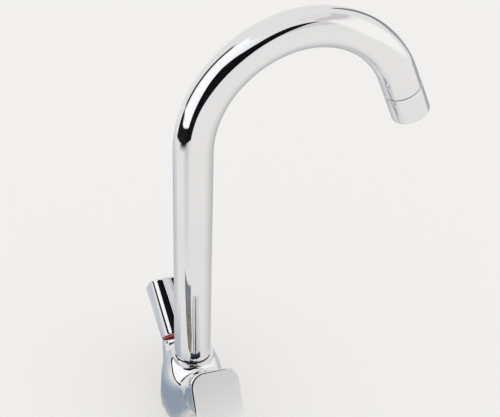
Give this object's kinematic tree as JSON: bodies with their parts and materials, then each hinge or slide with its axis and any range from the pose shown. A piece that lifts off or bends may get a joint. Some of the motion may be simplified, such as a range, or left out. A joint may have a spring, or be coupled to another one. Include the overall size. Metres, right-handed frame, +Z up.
{
  "type": "kitchen mixer tap",
  "caption": "Deck-mounted kitchen mixer tap with a tall swivelling swan-neck spout and a rounded square quarter-turn handle on a tilted arm each side.",
  "frame": {"origin": "centre of the round base on the worktop's top face", "axes": "+Z up, +X the way the spout points at rest, +Y towards the hot handle"},
  "size_m": [0.1989, 0.1606, 0.3914],
  "materials": {
    "chrome": "polished",
    "brass": "turned",
    "steel": "plated",
    "ceramic": "lapped",
    "rubber": "smooth",
    "white_plastic": "moulded",
    "grey_plastic": "moulded",
    "red_plastic": "moulded",
    "blue_plastic": "moulded"
  },
  "bodies": {
    "body": {"tap_body": "chrome", "base_gasket": "rubber", "fixing_stud": "steel", "clamp_washer_rubber": "rubber", "clamp_washer_steel": "steel", "fixing_nut": "brass", "spout_keeper_screw": "steel", "hot_valve_housing": "brass", "hot_fixed_disc": "ceramic", "hot_seat_seal": "rubber", "hot_flange_seal": "rubber", "hot_index_ring": "red_plastic", "cold_valve_housing": "brass", "cold_fixed_disc": "ceramic", "cold_seat_seal": "rubber", "cold_flange_seal": "rubber", "cold_index_ring": "blue_plastic"},
    "spout": {"spout_tube": "chrome", "spout_foot": "brass", "spout_o_ring_upper": "rubber", "spout_o_ring_lower": "rubber", "spout_slide_ring": "grey_plastic", "outlet_bush": "brass", "aerator_housing": "chrome", "aerator_seal": "rubber", "aerator_cartridge": "white_plastic", "aerator_mesh": "grey_plastic"},
    "hot_handle": {"hot_handle": "chrome", "hot_handle_bush": "white_plastic", "hot_handle_screw": "steel", "hot_spindle": "brass", "hot_spindle_o_ring": "rubber", "hot_spindle_clip": "steel", "hot_moving_disc": "ceramic"},
    "cold_handle": {"cold_handle": "chrome", "cold_handle_bush": "white_plastic", "cold_handle_screw": "steel", "cold_spindle": "brass", "cold_spindle_o_ring": "rubber", "cold_spindle_clip": "steel", "cold_moving_disc": "ceramic"}
  },
  "joints": [
    {"name": "spout_swivel", "type": "hinge", "parent": "body", "child": "spout", "pos_m": [0, 0, 0.052], "axis": [0, 0, 1], "continuous": true},
    {"name": "hot_handle_turn", "type": "hinge", "parent": "body", "child": "hot_handle", "pos_m": [0, 0.03326, 0.03891], "axis": [0, 0.7716, 0.6361], "range_deg": [0, 90]},
    {"name": "cold_handle_turn", "type": "hinge", "parent": "body", "child": "cold_handle", "pos_m": [0, -0.03326, 0.03891], "axis": [0, -0.7716, 0.6361], "range_deg": [0, 90]}
  ]
}
